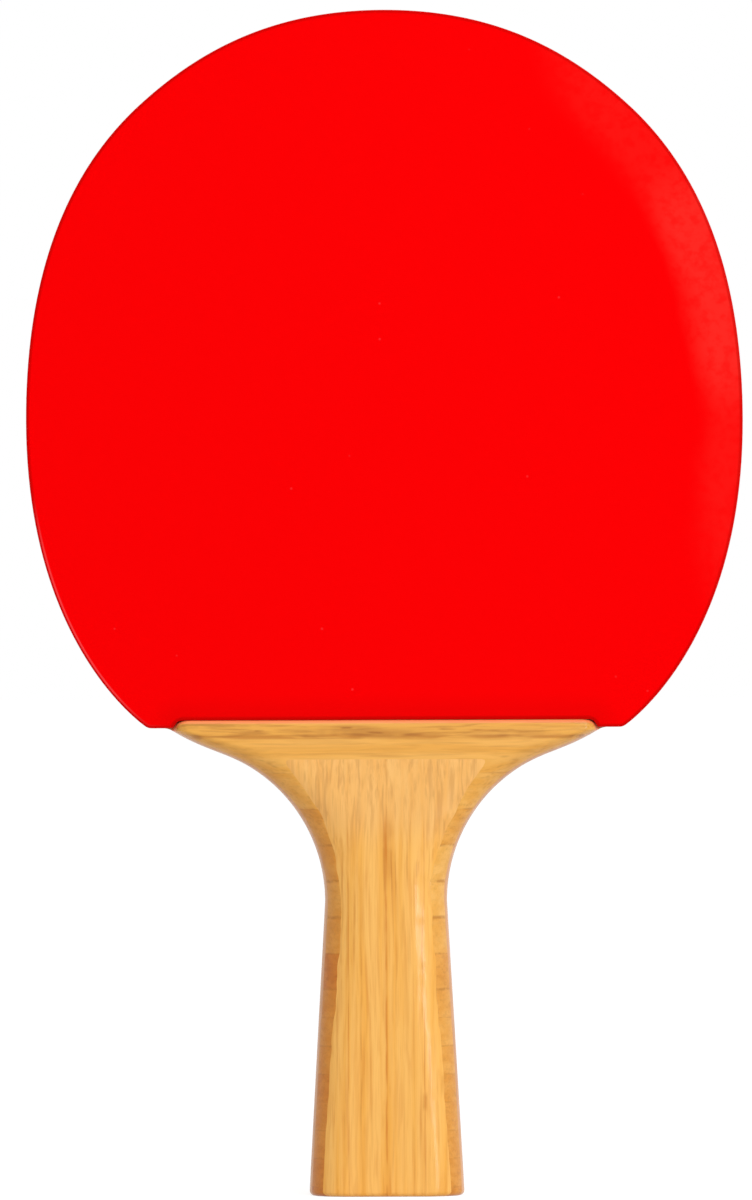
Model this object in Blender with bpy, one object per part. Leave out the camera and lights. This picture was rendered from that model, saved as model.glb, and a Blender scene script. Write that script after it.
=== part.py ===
"""Table tennis racket: a laminated bamboo blade and handle with a rubber on each side.

Units are metres. The racket stands upright on its handle's end face, with the origin at that
face's centre. +Z runs up the racket, -Y is the red side, and +X is to the right when the red
side is looked at. Depth is the distance from the blade's middle plane to either side.
"""
import math

import bmesh
import bpy
from mathutils import Vector
from mathutils.geometry import interpolate_bezier

# Blade outline, from the corner at its shoulder to the middle of its top
OVERALL_LENGTH = 0.2500
BLADE_WIDTH = 0.1511
WIDEST_HEIGHT = 0.1635
SHOULDER_HEIGHT = 0.0987
CORNER_HALF_WIDTH = 0.0501
CORNER_LEAN = 53.9
CORNER_PULL = 0.0090
CORNER_RADIUS = 0.0016
WIDEST_PULL_DOWN = 0.0407
WIDEST_PULL_UP = 0.0353
BROW_HALF_WIDTH = 0.0514
BROW_HEIGHT = 0.2301
BROW_LEAN = -47.6
BROW_PULL = 0.0173
TOP_PULL = 0.0230

# Handle and neck outline, from the end face up to the shoulder's level step
END_HALF_WIDTH = 0.01636
END_LEAN = -2.3
END_PULL = 0.0082
END_ROUND = 0.0011
WAIST_HALF_WIDTH = 0.01287
WAIST_HEIGHT = 0.0622
WAIST_PULL_DOWN = 0.0010
WAIST_PULL_UP = 0.0106
NECK_HALF_WIDTH = 0.02446
NECK_DROP = 0.01127
NECK_LEAN = 49.8
NECK_PULL_DOWN = 0.0086
NECK_PULL_UP = 0.0098
WING_HALF_WIDTH = 0.04505
WING_DROP = 0.0005
WING_LEAN = 58.4
WING_PULL = 0.0100
STEP_FILLET = 0.0022

# Plies and rubbers, from the middle plane outwards
BLADE_PLY = 0.0020
SPONGE = 0.0012
TOPSHEET = 0.0015
INNER_PLY = 0.0022
CROSS_PLY = 0.0026
FACE_PLY = 0.0020
GLUE_LINE = 0.0003
EDGE_CLEARANCE = 0.0003

# Handle scale: its straight top end, its ramp, and the roundover of its sides by height
SCALE_OVERLAP = 0.00146
SCALE_CORNER_DROP = 0.0022
SCALE_CORNER_WIDTH = 0.0023
RIM_PROUD = 0.0007
RIM_ROUND = 0.0007
RAMP_LENGTH = 0.0272
ROUNDOVER_AT_TOP = 0.0020
ROUNDOVER_AT_NECK = 0.0117
ROUNDOVER_AT_WAIST = 0.0098
ROUNDOVER_AT_END = 0.0078
NECK_ROUNDOVER_DROP = 0.0062
LEAST_FLAT = 0.0008
SIDE_FEATHER = 0.0002
END_FEATHER = 0.0002

# Strips: level ones in the cross ply, upright ones in the face ply
FIRST_JOINT_DROP = 0.0034
WIDE_STRIP = 0.0076
WIDE_STRIPS = 7
NARROW_STRIP = 0.00593
FACE_STRIP = 0.0080
LEAST_STRIP = 0.0006
LEAST_ROW = 0.00003

# Facets
BROW_STEPS = 12
SIDE_STEPS = 14
NECK_STEPS = 9
HANDLE_STEPS = 9
FILLET_STEPS = 4
ROUND_STEPS = 4
SHARP_ANGLE = 35.0

# Limits of the reckoning: halvings of a search, and the distance that counts as on the middle
HALVINGS = 30
ON_MIDDLE = 0.000001

# Colours, as linear red, green, blue
RED_RUBBER = (0.90, 0.003, 0.004)
BLACK_RUBBER = (0.012, 0.012, 0.013)
RED_SPONGE = (0.62, 0.10, 0.05)
BLACK_SPONGE = (0.55, 0.36, 0.12)
BAMBOO_TONES = ((0.90, 0.47, 0.12), (0.82, 0.40, 0.10), (0.86, 0.44, 0.14), (0.76, 0.35, 0.08))
RUBBER_ROUGHNESS = 0.45
SPONGE_ROUGHNESS = 0.85
BAMBOO_ROUGHNESS = 0.40

# Levels worked out from the plies
BLADE_DEPTH = (3 * BLADE_PLY + 2 * GLUE_LINE) / 2
SPONGE_LEVEL = BLADE_DEPTH + GLUE_LINE
TOPSHEET_LEVEL = SPONGE_LEVEL + SPONGE + GLUE_LINE
RUBBER_DEPTH = TOPSHEET_LEVEL + TOPSHEET
INNER_LEVEL = BLADE_DEPTH + GLUE_LINE
CROSS_LEVEL = INNER_LEVEL + INNER_PLY + GLUE_LINE
FACE_LEVEL = CROSS_LEVEL + CROSS_PLY + GLUE_LINE
HANDLE_DEPTH = FACE_LEVEL + FACE_PLY
RIM_DEPTH = RUBBER_DEPTH + RIM_PROUD
SCALE_TOP = SHOULDER_HEIGHT + SCALE_OVERLAP
SCALE_CORNER_START = SCALE_TOP - SCALE_CORNER_DROP
STEP_PULL = STEP_FILLET / 3


def clear_scene():
    """Remove whatever the scene holds."""
    for item in list(bpy.data.objects):
        bpy.data.objects.remove(item, do_unlink=True)


def finish(item, colour, roughness):
    """Give an object a material of its own."""
    material = bpy.data.materials.new(item.name + "_finish")
    material.use_nodes = True
    shader = material.node_tree.nodes["Principled BSDF"]
    shader.inputs["Base Color"].default_value = (*colour, 1.0)
    shader.inputs["Roughness"].default_value = roughness
    shader.inputs["Metallic"].default_value = 0.0
    item.data.materials.append(material)


def make_object(name, mesh_source):
    """Turn a bmesh into a named object with its faces outwards and its round sides smooth."""
    bmesh.ops.recalc_face_normals(mesh_source, faces=mesh_source.faces)
    mesh = bpy.data.meshes.new(name)
    mesh_source.to_mesh(mesh)
    mesh_source.free()
    mesh.shade_smooth()
    mesh.set_sharp_from_angle(angle=math.radians(SHARP_ANGLE))
    item = bpy.data.objects.new(name, mesh)
    bpy.context.collection.objects.link(item)
    return item


def knot(half_width, height, lean, pull_before, pull_after):
    """Point that an outline passes, with its Bezier handles along a lean from the vertical."""
    way = Vector((math.sin(math.radians(lean)), math.cos(math.radians(lean))))
    point = Vector((half_width, height))
    return point - way * pull_before, point, point + way * pull_after


def curve(knots, steps):
    """Points along the Bezier curve through some knots, with a step count for each stretch."""
    points = [knots[0][1]]
    for start, end, count in zip(knots, knots[1:], steps):
        stretch = interpolate_bezier(start[1], start[2], end[0], end[1], count + 1)
        points += [Vector(p) for p in stretch[1:]]
    return points


def edge_inset(distance, radius):
    """How far a rounded edge draws a face in at a distance from that edge."""
    if distance >= radius:
        return 0.0
    return radius - math.sqrt(radius**2 - (radius - distance) ** 2)


SIDE = curve(
    (
        knot(END_HALF_WIDTH, 0.0, END_LEAN, 0.0, END_PULL),
        knot(WAIST_HALF_WIDTH, WAIST_HEIGHT, 0.0, WAIST_PULL_DOWN, WAIST_PULL_UP),
        knot(NECK_HALF_WIDTH, SHOULDER_HEIGHT - NECK_DROP, NECK_LEAN, NECK_PULL_DOWN, NECK_PULL_UP),
        knot(WING_HALF_WIDTH, SHOULDER_HEIGHT - WING_DROP, WING_LEAN, WING_PULL, STEP_PULL),
    ),
    (HANDLE_STEPS, NECK_STEPS, NECK_STEPS),
)


def half_width(height):
    """Half width of the neck and handle at a height, without the end face's rounded edge."""
    for low, high in zip(SIDE, SIDE[1:]):
        if height <= high.y:
            share = (height - low.y) / (high.y - low.y)
            return low.x + share * (high.x - low.x)
    return SIDE[-1].x


def rounded_half_width(height):
    """Half width of the neck and handle, with the end face's rounded edge."""
    return half_width(height) - edge_inset(height, END_ROUND)


def scale_half_width(height):
    """Half width of a handle scale, whose top corners are rounded off."""
    if height <= SCALE_CORNER_START:
        return rounded_half_width(height)
    share = min((height - SCALE_CORNER_START) / SCALE_CORNER_DROP, 1.0)
    return half_width(SCALE_CORNER_START) - SCALE_CORNER_WIDTH * (1 - math.sqrt(1 - share**2))


def blend(start, end, share):
    """Smooth step from one value to the next."""
    share = min(max(share, 0.0), 1.0)
    return start + (end - start) * share * share * (3 - 2 * share)


def roundover(height):
    """Width of the scale's rounded side at a height."""
    neck_height = SHOULDER_HEIGHT - NECK_ROUNDOVER_DROP
    if height >= neck_height:
        share = (height - neck_height) / (SCALE_TOP - neck_height)
        width = blend(ROUNDOVER_AT_NECK, ROUNDOVER_AT_TOP, share)
    elif height >= WAIST_HEIGHT:
        share = (height - WAIST_HEIGHT) / (neck_height - WAIST_HEIGHT)
        width = blend(ROUNDOVER_AT_WAIST, ROUNDOVER_AT_NECK, share)
    else:
        width = blend(ROUNDOVER_AT_END, ROUNDOVER_AT_WAIST, height / WAIST_HEIGHT)
    return min(width, scale_half_width(height) - LEAST_FLAT)


def crown(height):
    """Depth of the scale's surface along its middle: flat handle, then the ramp to the rim."""
    share = max(height - (SCALE_TOP - RAMP_LENGTH), 0.0) / RAMP_LENGTH
    depth = HANDLE_DEPTH - (HANDLE_DEPTH - RIM_DEPTH) * share**2
    return depth - edge_inset(height, END_ROUND) - edge_inset(SCALE_TOP - height, RIM_ROUND)


def reach_at(height, depth):
    """Half width of the sculpted scale at a height and a depth."""
    rise = (depth - BLADE_DEPTH) / (crown(height) - BLADE_DEPTH)
    drawn_in = roundover(height) * (1 - math.sqrt(1 - min(rise, 1.0) ** 2))
    return scale_half_width(height) - drawn_in


def surface_depth(x, height):
    """Depth of the sculpted scale's surface over a point."""
    width = roundover(height)
    share = max(abs(x) - (scale_half_width(height) - width), 0.0) / width
    return BLADE_DEPTH + (crown(height) - BLADE_DEPTH) * math.sqrt(1 - min(share, 1.0) ** 2)


def end_rows():
    """Heights that shape the end face's rounded edge."""
    return [END_ROUND * (1 - math.cos(math.pi / 2 * i / ROUND_STEPS)) for i in range(ROUND_STEPS + 1)]


def rim_rows():
    """Heights that shape the rounded rim of a scale's top end."""
    steps = [1 - math.cos(math.pi / 2 * i / FILLET_STEPS) for i in range(FILLET_STEPS)]
    return [SCALE_TOP - RIM_ROUND * step for step in steps]


def corner_rows():
    """Heights that shape the rounded top corners of a scale."""
    steps = [math.sin(math.pi / 2 * i / FILLET_STEPS) for i in range(FILLET_STEPS + 1)]
    return [SCALE_CORNER_START + SCALE_CORNER_DROP * step for step in steps]


def scale_rows(low, high):
    """Heights of the sections between two heights, both included."""
    heights = end_rows() + corner_rows() + rim_rows()
    heights += [p.y for p in SIDE if END_ROUND < p.y < SCALE_CORNER_START]
    rows = [low]
    for height in sorted(heights) + [high]:
        if height - rows[-1] > LEAST_ROW and high - height > LEAST_ROW:
            rows.append(height)
    return rows + [high]


def lower_outline():
    """Right side of the blade's outline below its shoulder, from the rounded end face up."""
    rows = end_rows() + [p.y for p in SIDE if p.y > END_ROUND]
    return [Vector((rounded_half_width(h), h)) for h in rows]


def step_outline():
    """Fillet from the neck into the shoulder's level step."""
    start = knot(SIDE[-1].x, SIDE[-1].y, WING_LEAN, 0.0, STEP_PULL)
    end = knot(SIDE[-1].x + STEP_FILLET, SHOULDER_HEIGHT, 90.0, STEP_PULL, 0.0)
    return curve((start, end), (FILLET_STEPS,))


def round_outline():
    """Blade corner and the round part of the blade, up to the middle of its top."""
    points = curve(
        (
            knot(CORNER_HALF_WIDTH, SHOULDER_HEIGHT, CORNER_LEAN, 0.0, CORNER_PULL),
            knot(BLADE_WIDTH / 2, WIDEST_HEIGHT, 0.0, WIDEST_PULL_DOWN, WIDEST_PULL_UP),
            knot(BROW_HALF_WIDTH, BROW_HEIGHT, BROW_LEAN, BROW_PULL, BROW_PULL),
            knot(0.0, OVERALL_LENGTH, -90.0, TOP_PULL, 0.0),
        ),
        (SIDE_STEPS, BROW_STEPS, BROW_STEPS),
    )
    corner = points[0]
    kept = [p for p in points if (p - corner).length > CORNER_RADIUS]
    inner = corner - Vector((CORNER_RADIUS, 0.0))
    outer = corner + (kept[0] - corner).normalized() * CORNER_RADIUS
    fillet = interpolate_bezier(inner, corner, corner, outer, FILLET_STEPS + 1)
    return [Vector(p) for p in fillet] + kept


def notch_outline():
    """Lower edge of a rubber, from its middle over the scale's top end to the shoulder's step."""
    points = []
    for height in reversed(corner_rows()):
        x = scale_half_width(height) + EDGE_CLEARANCE
        points.append(Vector((x, max(height + EDGE_CLEARANCE, SHOULDER_HEIGHT))))
    kept = [p for p in points if p.y > SHOULDER_HEIGHT]
    foot = Vector((points[-1].x, SHOULDER_HEIGHT))
    return kept + [foot]


def extrude_outline(name, half, near, far):
    """Mirror half an outline about the middle and extrude it between two depths along Y."""
    low, high = min(near, far), max(near, far)
    left = [Vector((-p.x, p.y)) for p in reversed(half) if p.x > ON_MIDDLE]
    bm = bmesh.new()
    corners = [bm.verts.new((p.x, low, p.y)) for p in half + left]
    face = bm.faces.new(corners)
    grown = bmesh.ops.extrude_face_region(bm, geom=[face])
    moved = [v for v in grown["geom"] if isinstance(v, bmesh.types.BMVert)]
    bmesh.ops.translate(bm, verts=moved, vec=(0.0, high - low, 0.0))
    return make_object(name, bm)


def loft(name, rings):
    """Closed solid through rings of equal point counts, capped at both ends."""
    bm = bmesh.new()
    loops = [[bm.verts.new(point) for point in ring] for ring in rings]
    count = len(rings[0])
    for lower, upper in zip(loops, loops[1:]):
        for i in range(count):
            after = (i + 1) % count
            bm.faces.new((lower[i], lower[after], upper[after], upper[i]))
    bm.faces.new(loops[0])
    bm.faces.new(loops[-1])
    return make_object(name, bm)


def level_ring(height, low_depth, high_depth, side):
    """Section of a ply across the whole scale: rounded ends, straight faces."""
    top = min(high_depth, crown(height))
    span = crown(height) - BLADE_DEPTH
    first = math.asin((low_depth - BLADE_DEPTH) / span)
    last = math.asin(min((top - BLADE_DEPTH) / span, 1.0))
    right = []
    for i in range(ROUND_STEPS + 1):
        depth = BLADE_DEPTH + span * math.sin(first + (last - first) * i / ROUND_STEPS)
        right.append((reach_at(height, depth), side * depth, height))
    left = [(-x, y, z) for x, y, z in reversed(right)]
    return right + left


def upright_ring(height, inner_x, outer_x, side):
    """Section of one face strip, whose top follows the sculpted surface."""
    outer = math.copysign(min(abs(outer_x), face_reach(height)), outer_x)
    ring = [(inner_x, side * FACE_LEVEL, height), (outer, side * FACE_LEVEL, height)]
    for i in range(ROUND_STEPS + 1):
        x = outer + (inner_x - outer) * i / ROUND_STEPS
        ring.append((x, side * surface_depth(x, height), height))
    return ring


def blade_plies():
    """Three plies glued flat, all cut to the racket's whole outline."""
    half = lower_outline() + step_outline()[1:] + round_outline()
    pitch = BLADE_PLY + GLUE_LINE
    for index, name in enumerate(("blade_front_ply", "blade_core_ply", "blade_back_ply")):
        middle = (index - 1) * pitch
        ply = extrude_outline(name, half, middle - BLADE_PLY / 2, middle + BLADE_PLY / 2)
        finish(ply, BAMBOO_TONES[index], BAMBOO_ROUGHNESS)


def rubbers():
    """Sponge and topsheet on each side, notched over the scale's top end."""
    half = notch_outline() + round_outline()
    for word, side, rubber, sponge in (
        ("front", -1, RED_RUBBER, RED_SPONGE),
        ("back", 1, BLACK_RUBBER, BLACK_SPONGE),
    ):
        layer = extrude_outline(
            f"{word}_sponge", half, side * SPONGE_LEVEL, side * (SPONGE_LEVEL + SPONGE)
        )
        finish(layer, sponge, SPONGE_ROUGHNESS)
        sheet = extrude_outline(f"{word}_topsheet", half, side * TOPSHEET_LEVEL, side * RUBBER_DEPTH)
        finish(sheet, rubber, RUBBER_ROUGHNESS)


def cross_joints():
    """Heights of the joints between the level strips, from the top down."""
    joints = [SCALE_TOP - FIRST_JOINT_DROP - WIDE_STRIP * i for i in range(WIDE_STRIPS + 1)]
    joints = [height for height in joints if height > LEAST_STRIP]
    while joints[-1] - NARROW_STRIP > GLUE_LINE + LEAST_STRIP:
        joints.append(joints[-1] - NARROW_STRIP)
    return joints


def inner_ply(word, side):
    """Board next to the blade, over the whole scale."""
    rings = [
        level_ring(height, INNER_LEVEL, INNER_LEVEL + INNER_PLY, side)
        for height in scale_rows(0.0, SCALE_TOP)
    ]
    finish(loft(f"{word}_inner_ply", rings), BAMBOO_TONES[0], BAMBOO_ROUGHNESS)


def cross_ply(word, side):
    """Level strips, side by side from the ramp's rim to the end face."""
    joints = cross_joints()
    tops = [SCALE_TOP] + [height - GLUE_LINE / 2 for height in joints]
    bottoms = [height + GLUE_LINE / 2 for height in joints] + [0.0]
    for index, (top, bottom) in enumerate(zip(tops, bottoms)):
        rings = [
            level_ring(height, CROSS_LEVEL, CROSS_LEVEL + CROSS_PLY, side)
            for height in scale_rows(bottom, top)
        ]
        strip = loft(f"{word}_cross_strip_{index + 1:02d}", rings)
        finish(strip, BAMBOO_TONES[index % len(BAMBOO_TONES)], BAMBOO_ROUGHNESS)


def crossing(inside, outside, measure, limit):
    """Height between two others at which a measure falls to a limit."""
    for _ in range(HALVINGS):
        middle = (inside + outside) / 2
        if measure(middle) > limit:
            inside = middle
        else:
            outside = middle
    return inside


def face_reach(height):
    """Half width of the face ply, where the roundover leaves it just thick enough to keep."""
    return reach_at(height, FACE_LEVEL + SIDE_FEATHER)


def face_runs(inner_x):
    """Stretches of height over which the face ply reaches past a joint, from the top down."""
    limit = inner_x + LEAST_STRIP
    ramp_end = crossing(SCALE_TOP - RAMP_LENGTH, SCALE_TOP, crown, FACE_LEVEL + END_FEATHER)
    rows = scale_rows(0.0, ramp_end)[::-1]
    runs = []
    run = [rows[0]] if face_reach(rows[0]) > limit else []
    for above, below in zip(rows, rows[1:]):
        if face_reach(below) > limit:
            run = run or [crossing(below, above, face_reach, limit)]
            run.append(below)
        elif run:
            run.append(crossing(above, below, face_reach, limit))
            runs.append(run)
            run = []
    return runs + [run] if run else runs


def face_ply(word, side):
    """Upright strips either side of the middle joint, cut off by the ramp and the roundover."""
    index = 0
    inner = GLUE_LINE / 2
    while face_runs(inner):
        outer = (index + 1) * FACE_STRIP - GLUE_LINE / 2
        for number, run in enumerate(face_runs(inner)):
            ending = "" if number == 0 else f"_{number + 1}"
            for way, hand in ((-1, "left"), (1, "right")):
                rings = [upright_ring(height, way * inner, way * outer, side) for height in run]
                strip = loft(f"{word}_face_strip_{hand}_{index + 1}{ending}", rings)
                finish(strip, BAMBOO_TONES[index % len(BAMBOO_TONES)], BAMBOO_ROUGHNESS)
        index += 1
        inner = index * FACE_STRIP + GLUE_LINE / 2


def handle_scales():
    """Sculpted scale on each side of the blade."""
    for word, side in (("front", -1), ("back", 1)):
        inner_ply(word, side)
        cross_ply(word, side)
        face_ply(word, side)


def main():
    """Build the racket."""
    clear_scene()
    blade_plies()
    rubbers()
    handle_scales()


main()
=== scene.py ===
"""Looks of the table tennis racket: sculpted bamboo handle scales cut into their strips, a
three-ply blade, and a sponge with a pimpled topsheet on each side.

Units are metres. +Z runs up the racket, -Y is the red side. Depth is the distance from the
blade's middle plane. Places and distances inside the materials are in millimetres.
"""
import math

import bmesh
import bpy
import numpy as np
from mathutils import Matrix, Vector, noise
from mathutils.geometry import interpolate_bezier

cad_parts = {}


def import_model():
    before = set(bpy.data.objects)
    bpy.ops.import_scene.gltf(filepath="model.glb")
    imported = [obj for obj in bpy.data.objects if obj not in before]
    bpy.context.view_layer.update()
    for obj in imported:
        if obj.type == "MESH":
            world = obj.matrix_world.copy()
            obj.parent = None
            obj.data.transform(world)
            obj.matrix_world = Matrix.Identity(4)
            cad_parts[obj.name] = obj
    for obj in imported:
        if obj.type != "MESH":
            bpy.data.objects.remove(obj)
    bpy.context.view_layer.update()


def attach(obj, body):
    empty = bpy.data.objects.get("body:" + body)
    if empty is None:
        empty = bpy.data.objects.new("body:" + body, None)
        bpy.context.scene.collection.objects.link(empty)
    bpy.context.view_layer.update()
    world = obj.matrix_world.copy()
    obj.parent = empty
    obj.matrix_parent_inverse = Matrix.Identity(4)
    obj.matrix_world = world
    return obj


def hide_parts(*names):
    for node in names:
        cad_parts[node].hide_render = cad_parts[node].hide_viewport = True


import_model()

# Blade outline, as in the part's source
OVERALL_LENGTH = 0.2500
BLADE_WIDTH = 0.1511
WIDEST_HEIGHT = 0.1635
SHOULDER_HEIGHT = 0.0987
CORNER_HALF_WIDTH = 0.0501
CORNER_LEAN = 53.9
CORNER_PULL = 0.0090
CORNER_RADIUS = 0.0016
WIDEST_PULL_DOWN = 0.0407
WIDEST_PULL_UP = 0.0353
BROW_HALF_WIDTH = 0.0514
BROW_HEIGHT = 0.2301
BROW_LEAN = -47.6
BROW_PULL = 0.0173
TOP_PULL = 0.0230

# Handle and neck outline
END_HALF_WIDTH = 0.01636
END_LEAN = -2.3
END_PULL = 0.0082
END_ROUND = 0.0011
WAIST_HALF_WIDTH = 0.01287
WAIST_HEIGHT = 0.0622
WAIST_PULL_DOWN = 0.0010
WAIST_PULL_UP = 0.0106
NECK_HALF_WIDTH = 0.02446
NECK_DROP = 0.01127
NECK_LEAN = 49.8
NECK_PULL_DOWN = 0.0086
NECK_PULL_UP = 0.0098
WING_HALF_WIDTH = 0.04505
WING_DROP = 0.0005
WING_LEAN = 58.4
WING_PULL = 0.0100
STEP_FILLET = 0.0022
STEP_PULL = STEP_FILLET / 3

# Depths of the plies, each taken to the middle of its glue lines
CORE_DEPTH = 0.00115
BLADE_DEPTH = 0.0033
INNER_DEPTH = 0.00345
CROSS_DEPTH = 0.00595
FACE_DEPTH = 0.0092
HANDLE_DEPTH = 0.0110
FILM_DEPTH = 0.0058
SPONGE_TOP = 0.00495
RUBBER_DEPTH = 0.0066
RIM_DEPTH = 0.0073

# Handle scale
SCALE_TOP = 0.1003
SCALE_CORNER_DROP = 0.0022
SCALE_CORNER_START = SCALE_TOP - SCALE_CORNER_DROP
SCALE_CORNER_WIDTH = 0.0023
RIM_ROUND = 0.0007
RAMP_LENGTH = 0.0272
ROUNDOVER_AT_TOP = 0.0020
ROUNDOVER_AT_NECK = 0.0117
ROUNDOVER_AT_WAIST = 0.0098
ROUNDOVER_AT_END = 0.0078
NECK_ROUNDOVER_HEIGHT = 0.0925
LEAST_FLAT = 0.0008
FACE_STRIP = 0.0080
FACE_STRIPS = 3
CROSS_JOINTS = (
    0.09676, 0.08916, 0.08156, 0.07396, 0.06636, 0.05876, 0.05116, 0.04356,
    0.03763, 0.03170, 0.02577, 0.01984, 0.01391, 0.00798, 0.00205,
)

# Sanding of the rounded sides: its depth, and the heights between which it shows
SANDING = 0.0006
SANDING_START = 0.004
SANDING_END = 0.088
SANDING_FADE = 0.008
# Its two waves: place in the noise, waves per metre and share of the depth
SANDING_WAVES = ((7.3, 2.6, 120.0, 1.0), (3.1, 8.2, 340.0, 0.5))

# Fineness of the shapes
STEPS = 40
FILLET_STEPS = 8
BEVEL_STEPS = 3
ROW_PITCH = 0.0007
LEAST_ROW_GAP = ROW_PITCH / 50
COLUMNS = 60
FLAT_SHARE = 0.46
SHARP_ANGLE = 35.0
RIM_STEPS = 60
SAW_TOLERANCE = 1e-7
TOLERANCE = 1e-6

# Pimples of the topsheets, which show at the cut edge
PIMPLE_PITCH = 0.0023
PIMPLE_RADIUS = 0.00082
PIMPLE_TAPER = 0.92
PIMPLE_BAND = 0.0055
PIMPLE_MARGIN = 0.0007
PIMPLE_SIDES = 10
FIELD_SHARE = 0.90
FIELD_MIDDLE = 0.165
EDGE_CLEARANCE = 0.00005
RUBBER_EDGE = 0.0003
RUBBER_INSET = 0.0006
FOOT_EDGE = 0.0010

# Level strips from the top down: tone at the left, tone at the right, partly their own and partly
# painted light from the right, and strength of figure
CROSS_TONES = (
    -0.01, -0.01, -0.04, -0.12, -0.14, -0.11, -0.14, -0.26,
    -0.19, -0.17, -0.18, -0.22, -0.20, -0.20, -0.24, -0.27,
)
CROSS_RIGHT_LIT_TONES = (
    -0.01, -0.01, -0.01, -0.05, 0.02, 0.01, -0.02, -0.10,
    -0.07, -0.05, -0.07, -0.10, -0.11, -0.12, -0.13, -0.16,
)
CROSS_FIGURES = (
    0.60, 0.20, 0.15, 0.20, 0.08, 0.10, 0.12, 0.20,
    0.15, 0.12, 0.12, 0.18, 0.15, 0.15, 0.20, 0.25,
)

# The other wood, and the width over which a strip's tone changes
FACE_FIGURE = 0.22
BLADE_TONE = -0.05
INNER_TONE = -0.02
TONE_SPAN = 0.020

# Joints: how faint each level one is, and the distance added to faint, tight and missing ones
JOINT_FAINTNESS = (0.0, 0.9, 0.8, 0.4, 0.2, 0.2, 0.6, 0.4, 0.9, 0.8, 0.9, 1.0, 0.9, 0.8, 1.0)
FAINT_JOINT = 0.0004
TIGHT_JOINT = 0.00013
NO_JOINT_NEAR = 0.01

# Seeds and steps that give each strip grain of its own
INNER_SEED = 1.0
BLADE_SEED = 3.0
BLADE_SEED_STEP = 900
CROSS_SEED_STEP = 5.3
FACE_SEED_STEP = 2.7
BACK_SEED_STEP = 9
SEED_SHIFT = (41.3, 17.9, 93.1)

# Units, orders of axes and plain colours
MILLIMETRES = 1000.0
ALONG_HANDLE = (0, 1, 2)
ACROSS_HANDLE = (2, 1, 0)
BLACK = (0.0, 0.0, 0.0)
WHITE = (1.0, 1.0, 1.0)

# Patterns of the bamboo: waves per mm across the grain, through the ply and along the grain
SWAY_WAVES = (0.16, 0.16, 0.03)
BUNDLE_WAVES = (1.45, 2.60, 0.040)
FINE_WAVES = (5.2, 4.0, 0.10)
BROAD_WAVES = (0.55, 0.45, 0.012)
FLAME_WAVES = (1.15, 0.90, 0.075)
GLUE_WAVES = (0.9, 0.9, 0.12)
LACQUER_WAVES = (0.60, 0.60, 0.015)
WANDER_WAVES = (0.05, 0.05, 0.08)
FADE_WAVES = 0.22

# Ranges over which patterns come in or fade; third and fourth numbers are the end values
BUNDLE_EDGE = (0.08, 0.66)
BUNDLE_CHOICE = (0.20, 0.90)
BROAD_RANGE = (0.32, 0.68)
FLAME_RANGE = (0.47, 0.68)
FINE_DARK_RANGE = (0.45, 0.80)
FINE_PALE_RANGE = (0.45, 0.22)
FINE_RANGE = (0.3, 0.7)
GLUE_EDGE = (0.2, 1.0)
GLUE_PATCHES = (0.34, 0.62, 0.20, 1.0)
FIBRE_EDGE = (0.15, 1.0)
FIBRE_PATCHES = (0.30, 0.60, 0.45, 1.0)

# Strengths of the bamboo's patterns
SWAY = (1.6, 1.6, 0.0)
FINE_DARKENING = 0.24
FINE_LIGHTENING = 0.25
BUNDLE_DENT = -0.6
FLAME_DISTORTION = 0.5
WANDER = 0.8
FIBRE_FADE = 0.35
WOOD_ROUGHNESS = (0.36, 0.50)
GRAIN_BUMP = (0.25, 0.00004)
LACQUER_BUMP = (1.0, 0.00016)
WOOD_SPECULAR = 0.15
LACQUER_WEIGHT = 0.44
LACQUER_ROUGHNESS = 0.21
BLADE_JOINT_WIDTH = 0.10

# How green and blue fall as a strip gets darker, and how much more they fall in the darkest
GREEN_POWER = 2.35
BLUE_POWER = 5.2
DARK_GREEN = (0.72, 0.90, 0.94, 1.0)
DARK_BLUE = (0.72, 0.90, 0.72, 1.0)

# The ramp's looks: the heights over which they set in, and the share at which its joints' do
RAMP_LOOK_START = (SCALE_TOP - RAMP_LENGTH) * MILLIMETRES - 2.0
RAMP_LOOK_FULL = (SCALE_TOP - RAMP_LENGTH) * MILLIMETRES + 8.0
RAMP_JOINT_START = 0.5

# Colours of cut fibres, of the painted reddish highlight on the rim with its reach, and of single
# dark fibres
CUT_TINT = (0.84, 0.46, 0.18)
RIM_HIGHLIGHT_TINT = (1.0, 0.27, 0.11)
RIM_HIGHLIGHT_REACH = (0.45, 0.85, 0.75, 0.0)
FIBRE_BROWN = (0.58, 0.20, 0.015)
STREAK_BROWN = (0.36, 0.115, 0.008)

# Dark fibres on the front, in mm: place across, lowest and highest point, half width, darkness
FRONT_FIBRES = (
    (-5.3, 1.0, 64.5, 0.34, 0.50), (1.05, 61.0, 75.5, 0.24, 0.55),
    (1.9, 61.0, 75.0, 0.22, 0.55), (7.6, 33.0, 67.0, 0.24, 0.55),
    (6.4, 66.0, 71.5, 0.26, 0.45), (9.0, 67.0, 76.0, 0.22, 0.40),
    (-8.7, 3.0, 31.0, 0.32, 0.30), (-3.0, 5.0, 24.0, 0.22, 0.30),
    (8.1, 17.5, 22.5, 0.70, 0.55), (11.9, 20.5, 27.0, 0.80, 0.45),
    (-9.6, 46.0, 59.0, 0.40, 0.40), (-8.2, 43.0, 62.0, 0.50, 0.30),
    (-6.8, 46.0, 66.0, 0.40, 0.35), (-0.3, 50.0, 84.0, 0.50, 0.30),
    (3.4, 50.0, 63.0, 0.50, 0.28), (4.8, 43.0, 60.0, 0.60, 0.25),
    (-9.3, 52.0, 76.0, 0.26, 0.45), (-10.4, 22.0, 46.0, 0.30, 0.25),
    (0.5, 63.0, 83.0, 1.90, 0.42), (-0.5, 60.0, 80.0, 0.34, 0.45),
    (4.4, 63.0, 79.0, 0.30, 0.45),
)

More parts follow.
